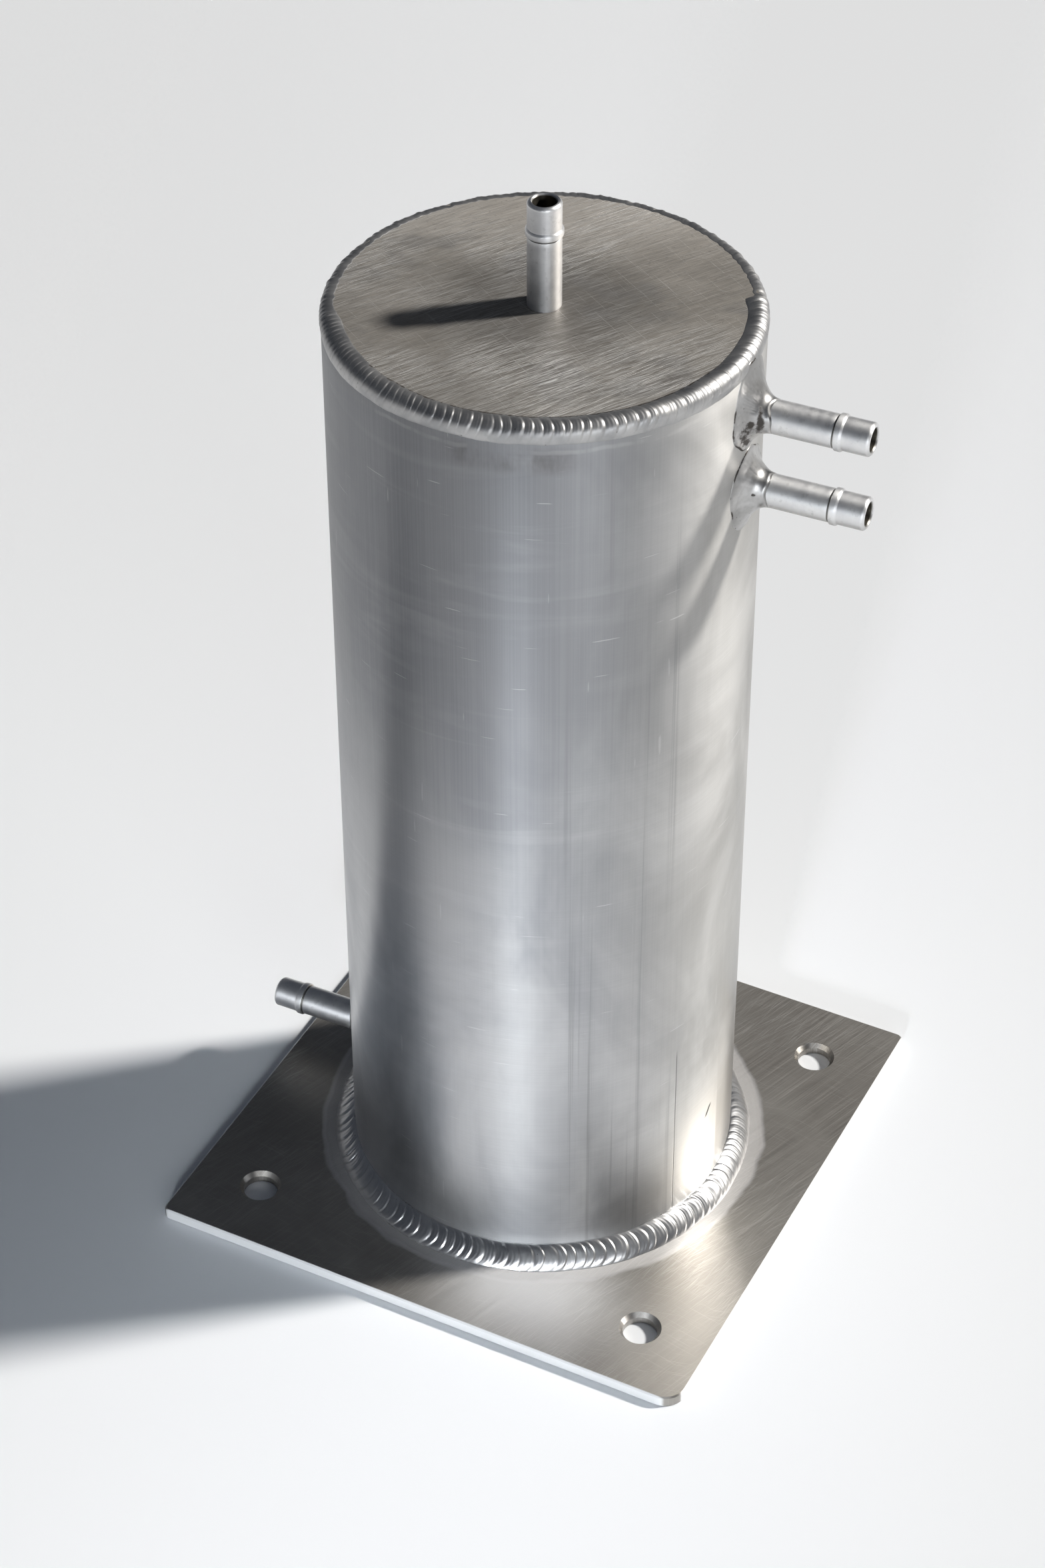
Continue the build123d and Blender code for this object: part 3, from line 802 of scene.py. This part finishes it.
def cap_weld():
    """The bead starts at the back right, runs clockwise round the front, and is low behind."""
    angles = ring_angles(CAP_WELD_STEPS)
    travel = (CAP_WELD_START - angles) % TAU
    heavy = blend_step(travel, 0.0, 0.035)
    heavy = heavy * (1 - blend_step(travel, CAP_WELD_FRONT - 0.16, CAP_WELD_FRONT))
    blob = np.exp(-((travel - 0.055) / 0.05) ** 2)
    wave = smooth_wave(angles, [(7, 0.30), (13, 0.30), (23, 0.22), (41, 0.18)], 11)
    rough_wave = smooth_wave(angles, [(61, 0.5), (97, 0.5), (139, 0.4)], 12)
    inner_r = TUBE_R - 3.0 - 1.8 * heavy + 0.18 * wave * heavy - 0.5 * blob
    inner_r = inner_r + 0.16 * rough_wave * (1 - heavy)
    inner_z = CAP_TOP - 0.02 * heavy + 0.01
    outer_r = np.full(CAP_WELD_STEPS, TUBE_R - 0.02)
    outer_z = CAP_TOP - 3.6 - 0.6 * heavy + 0.22 * wave + 0.15 * rough_wave * (1 - heavy)
    along = travel * TUBE_R
    late = blend_step(along, 50.0, 120.0)
    return ring_bead(
        "cap_weld_bead",
        angles,
        inner=np.stack([inner_r, inner_z], axis=1),
        outer=np.stack([outer_r, outer_z], axis=1),
        crown=1.58 + 0.66 * heavy + 0.10 * wave + 0.30 * blob,
        ripple=0.08 + heavy * (0.26 - 0.18 * late) + 0.03 * wave,
        run=along,
        starts=puddle_starts(TAU * TUBE_R, cap_spacing, 0.30, 5),
        seed=6,
        material=bead_material("bead_satin", 0.44, (0.40, 0.40, 0.405), (0.54, 0.535, 0.53)),
        soot_and_shade=cap_soot_and_shade,
        curl=0.62,
    )


# Weld of the foot


def foot_soot(at, across):
    """A little brown in the two toes."""
    upper_toe = np.exp(-((across[None, :] - 0.01) / 0.035) ** 2)
    lower_toe = np.exp(-((across[None, :] - 0.99) / 0.03) ** 2)
    patches = np.clip(smooth_wave(at, [(9, 0.4), (21, 0.4), (43, 0.4)], 41), 0, 1)
    return np.clip((upper_toe + lower_toe) * 0.45 * (0.3 + patches[:, None]), 0, 0.8)


def foot_weld():
    """An even rippled fillet, all the way round."""
    angles = ring_angles(FOOT_WELD_STEPS)
    travel = (FOOT_WELD_START - angles) % TAU
    wave = smooth_wave(angles, [(5, 0.30), (11, 0.30), (19, 0.22), (37, 0.18)], 31)
    inner_r = np.full(FOOT_WELD_STEPS, TUBE_R - 0.02)
    inner_z = PLATE_TOP + 5.0 + 0.30 * wave
    outer_r = TUBE_R + 5.3 + 0.25 * np.roll(wave, 140)
    outer_z = np.full(FOOT_WELD_STEPS, PLATE_TOP - 0.02)
    return ring_bead(
        "base_weld_bead",
        angles,
        inner=np.stack([inner_r, inner_z], axis=1),
        outer=np.stack([outer_r, outer_z], axis=1),
        crown=0.50 + 0.10 * wave,
        ripple=0.26 + 0.06 * np.roll(wave, 300),
        run=travel * FOOT_WELD_R,
        starts=puddle_starts(TAU * FOOT_WELD_R, lambda at: 2.9, 0.34, 7),
        seed=8,
        material=bead_material("bead_bright", 0.25),
        soot_and_shade=foot_soot,
        curl=0.56,
    )


# Fillets at the roots of the side tails


def upper_reach(turn):
    """Toe of the upper inlet's weld: drawn up under the cap's weld."""
    return 9.2 + 4.6 * np.clip(np.cos(turn), 0, 1) ** 2


def plain_reach(turn):
    """Toe of the other two: drawn out below, and a little above."""
    return 9.4 + 1.5 * np.clip(-np.cos(turn), 0, 1) ** 3 + 0.8 * np.clip(np.cos(turn), 0, 1)


def spot(turn, share, at_turn, at_share, wide, deep):
    """Soft patch on a fillet, round an angle from upward and a share of the way to the toe."""
    away = np.abs((turn - at_turn + math.pi) % TAU - math.pi)
    return np.exp(-((away / wide) ** 2) - ((share - at_share) / deep) ** 2)


def toe_line(turn, share, seed):
    """Brown outline along the toe, stronger in places."""
    patches = np.clip(0.55 + smooth_wave(turn, [(2, 0.2), (5, 0.25), (11, 0.2)], seed), 0, 1)
    return 0.85 * patches * np.exp(-((share - 0.97) / 0.04) ** 2)


def upper_soot(turn, share):
    """Soot smeared below and to the left of the upper tail, and pits of it at the root."""
    smear = 0.50 * spot(turn, share, 3.8, 0.66, 0.60, 0.34)
    smear = smear + 0.42 * spot(turn, share, 4.5, 0.42, 0.60, 0.34)
    root = 0.60 * spot(turn, share, 4.9, 0.10, 1.0, 0.08)
    root = root + 0.80 * spot(turn, share, 4.75, 0.30, 0.14, 0.07)
    return np.clip(smear + root + toe_line(turn, share, 51), 0, 0.9)


def plain_soot(turn, share):
    """A pit and a few flecks beside the root, and the toe's outline."""
    root = 0.70 * spot(turn, share, 4.9, 0.14, 0.12, 0.06)
    root = root + 0.35 * spot(turn, share, 4.2, 0.20, 0.5, 0.10)
    return np.clip(root + toe_line(turn, share, 61), 0, 0.85)


# Pieces, in place of the CAD nodes that they stand for

cap_bead = cap_weld()
foot_bead = foot_weld()
smooth_bead = bead_material("bead_smooth", 0.30, (0.36, 0.355, 0.35), (0.58, 0.575, 0.57))
pieces = [(cap_bead, "cap_weld", "ring_weld"), (foot_bead, "base_weld", "ring_weld")]
side_tails = (
    ("upper_inlet", INLET_AZIMUTH, UPPER_INLET_Z, upper_reach, 71, upper_soot),
    ("lower_inlet", INLET_AZIMUTH, LOWER_INLET_Z, plain_reach, 73, plain_soot),
    ("outlet", OUTLET_AZIMUTH, OUTLET_Z, plain_reach, 77, plain_soot),
)
for name, azimuth, height, reach, seed, soot_and_shade in side_tails:
    fillet = saddle_weld(name + "_fillet", azimuth, height, reach, smooth_bead, seed, soot_and_shade)
    pieces.append((fillet, name + "_weld", "tail_weld"))
for name, azimuth, height, *_ in side_tails:
    a = math.radians(azimuth)
    axis = (math.cos(a), math.sin(a), 0.0)
    origin = (TUBE_R * axis[0], TUBE_R * axis[1], height)
    finish = tail_material("turned_" + name, azimuth)
    turned = lathe(name + "_turned", tail_profile(4.5, SIDE_REACH), origin, axis, finish)
    pieces.append((turned, name + "_tail", "tail"))
finish = tail_material("turned_vent")
vent = lathe("vent_turned", tail_profile(7.0, VENT_REACH), (0, 0, CAP_TOP), (0, 0, 1), finish)
pieces.append((vent, "vent_tail", "tail"))

# Nothing moves, so every piece rides on the root
for piece, node, slot in pieces:
    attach(piece, "root")
    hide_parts(node)

# CAD nodes that stay, each with its own finish
for node, material in (
    ("body_tube", tube_material()),
    ("top_cap", cap_material()),
    ("base_plate", plate_material()),
    ("vent_weld", hidden_weld_material()),
):
    mesh = nodes[node].data
    mesh.materials.clear()
    mesh.materials.append(material)
    mesh.shade_smooth()
    mesh.set_sharp_from_angle(angle=math.radians(25))

# Floor, just under the plate so that the two don't fight

FLOOR_HALF = 40.0
FLOOR_DROP = 0.0002
floor_mesh = bpy.data.meshes.new("floor")
signs = ((-1, -1), (1, -1), (1, 1), (-1, 1))
corners = [(x * FLOOR_HALF, y * FLOOR_HALF, 0) for x, y in signs]
floor_mesh.from_pydata(corners, [], [(0, 1, 2, 3)])
floor_mesh.update()
floor = bpy.data.objects.new("floor", floor_mesh)
floor.location = (0, 0, -FLOOR_DROP)
floor_mesh.materials.append(floor_material())
bpy.context.scene.collection.objects.link(floor)


# Light


def light_way(azimuth, elevation):
    """Direction towards a light, from its azimuth and elevation in degrees."""
    a, e = math.radians(azimuth), math.radians(elevation)
    return Vector((math.cos(a) * math.cos(e), math.sin(a) * math.cos(e), math.sin(e)))


def light_object(light, way, place=(0, 0, 0)):
    """Puts a light in the scene, shining against its direction."""
    obj = bpy.data.objects.new(light.name, light)
    obj.location = place
    obj.rotation_euler = way.to_track_quat("Z", "Y").to_euler()
    bpy.context.scene.collection.objects.link(obj)


def panel(name, azimuth, elevation, distance, size, power, colour, aim=0.14, spread=180.0):
    """Soft box of light at a direction from a point at the height aim on the pot's axis."""
    way = light_way(azimuth, elevation)
    light = bpy.data.lights.new(name, "AREA")
    light.shape = "RECTANGLE"
    light.size, light.size_y = size
    light.energy = power
    light.color = colour
    light.spread = math.radians(spread)
    light_object(light, way, Vector((0, 0, aim)) + way * distance)


# The key light is so far away that it lights the floor evenly
key = bpy.data.lights.new("key", "SUN")
key.energy = 3.9
key.angle = math.radians(5.7)
key.color = (1.0, 0.97, 0.92)
light_object(key, light_way(azimuth=38.8, elevation=37.5))
panel(
    "front", azimuth=-76.0, elevation=13.0, distance=1.5, size=(0.12, 0.12),
    power=0.17, colour=(0.90, 0.95, 1.0), aim=0.01, spread=21.0,
)
panel(
    "window", azimuth=-46.0, elevation=14.0, distance=2.0, size=(0.8, 0.4),
    power=8.5, colour=(0.94, 0.97, 1.0),
)

world = bpy.data.worlds.new("studio")
bpy.context.scene.world = world
world.use_nodes = True
background = world.node_tree.nodes["Background"]
background.inputs["Color"].default_value = (0.046, 0.052, 0.064, 1.0)
background.inputs["Strength"].default_value = 1.0

# Camera as fitted to the photo: its place in mm, and its angles from the front in degrees

CAMERA_PLACE = (314.34, -628.47, 699.97)
CAMERA_AZIMUTH = math.radians(27.0)
CAMERA_ELEVATION = math.radians(39.48)
CAMERA_ROLL = math.radians(-0.15)
FOCAL_PIXELS = 5443.5
PHOTO_HEIGHT_PIXELS = 2353.0
SENSOR_HEIGHT = 36.0

camera_data = bpy.data.cameras.new("camera")
camera = bpy.data.objects.new("camera", camera_data)
bpy.context.scene.collection.objects.link(camera)
bpy.context.scene.camera = camera
right = Vector((math.cos(CAMERA_AZIMUTH), math.sin(CAMERA_AZIMUTH), 0))
level = math.cos(CAMERA_ELEVATION)
back = Vector((right.y * level, -right.x * level, math.sin(CAMERA_ELEVATION)))
above = back.cross(right)
rolled_right = right * math.cos(CAMERA_ROLL) + above * math.sin(CAMERA_ROLL)
rolled_above = above * math.cos(CAMERA_ROLL) - right * math.sin(CAMERA_ROLL)
turned = Matrix((rolled_right, rolled_above, back)).transposed()
camera.matrix_world = Matrix.Translation(Vector(CAMERA_PLACE) * MM) @ turned.to_4x4()
camera_data.sensor_fit = "VERTICAL"
camera_data.sensor_height = SENSOR_HEIGHT
camera_data.lens = FOCAL_PIXELS * SENSOR_HEIGHT / PHOTO_HEIGHT_PIXELS
camera_data.clip_start = 0.01
camera_data.clip_end = 50.0

bpy.context.scene.view_settings.view_transform = "Standard"
